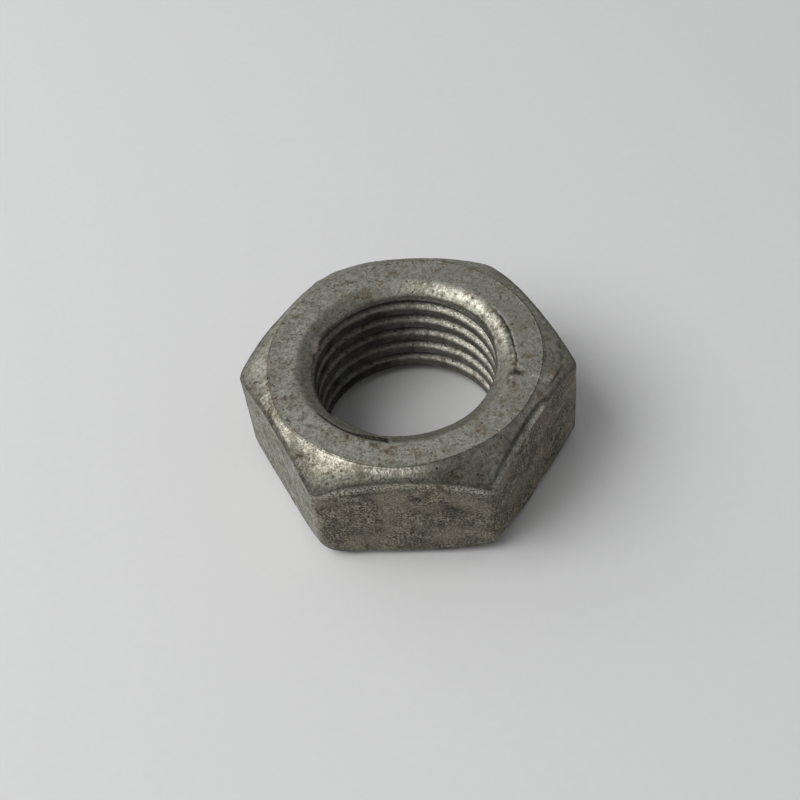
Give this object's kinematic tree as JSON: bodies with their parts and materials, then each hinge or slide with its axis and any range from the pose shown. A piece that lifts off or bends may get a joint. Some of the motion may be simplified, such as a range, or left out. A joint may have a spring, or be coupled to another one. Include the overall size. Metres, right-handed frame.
{
  "type": "hex jam nut",
  "caption": "Thin steel hexagon nut, chamfered on both faces, with a countersunk, fine-threaded bore.",
  "frame": {"origin": "centre of the lower bearing face, on the thread's axis", "axes": "+Z along the thread's axis towards the face with the deeper chamfer, +X through a corner of the hexagon, -Y square to a flat"},
  "size_m": [0.0218, 0.019, 0.0082],
  "materials": {
    "zinc_coated_steel": "dull, weathered zinc coating with fine dark and brown specks"
  },
  "bodies": {
    "root": {"nut_body": "zinc_coated_steel"}
  },
  "joints": []
}
